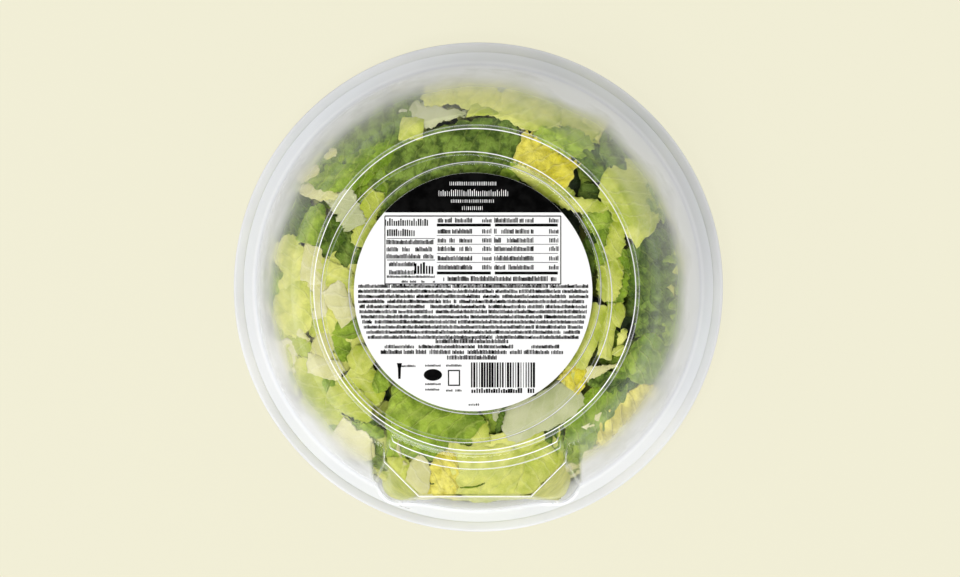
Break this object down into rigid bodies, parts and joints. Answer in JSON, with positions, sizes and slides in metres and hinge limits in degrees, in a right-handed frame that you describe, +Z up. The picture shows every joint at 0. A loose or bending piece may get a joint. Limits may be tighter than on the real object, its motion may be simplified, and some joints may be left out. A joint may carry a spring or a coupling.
{
  "type": "packed caesar salad bowl",
  "caption": "Round clear bowl of cut romaine, shut by a shallow lid pressed over its lip and lying on it, base up, with a plain paper label on the stepped base and a flat-ended tab at one side.",
  "frame": {"origin": "on the surface the pack lies on, under the middle of the lid", "axes": "+Z up, from the lid towards the bowl's base; the bowl's tab points along -Y"},
  "size_m": [0.194, 0.194, 0.066],
  "materials": {
    "bowl": "clear thermoformed plastic, glossy",
    "lid": "milky plastic, satin",
    "label": "coated paper, satin",
    "salad": "moist leaf"
  },
  "bodies": {
    "root": {"bowl": "bowl", "lid": "lid", "label": "label", "salad": "salad"}
  },
  "joints": []
}
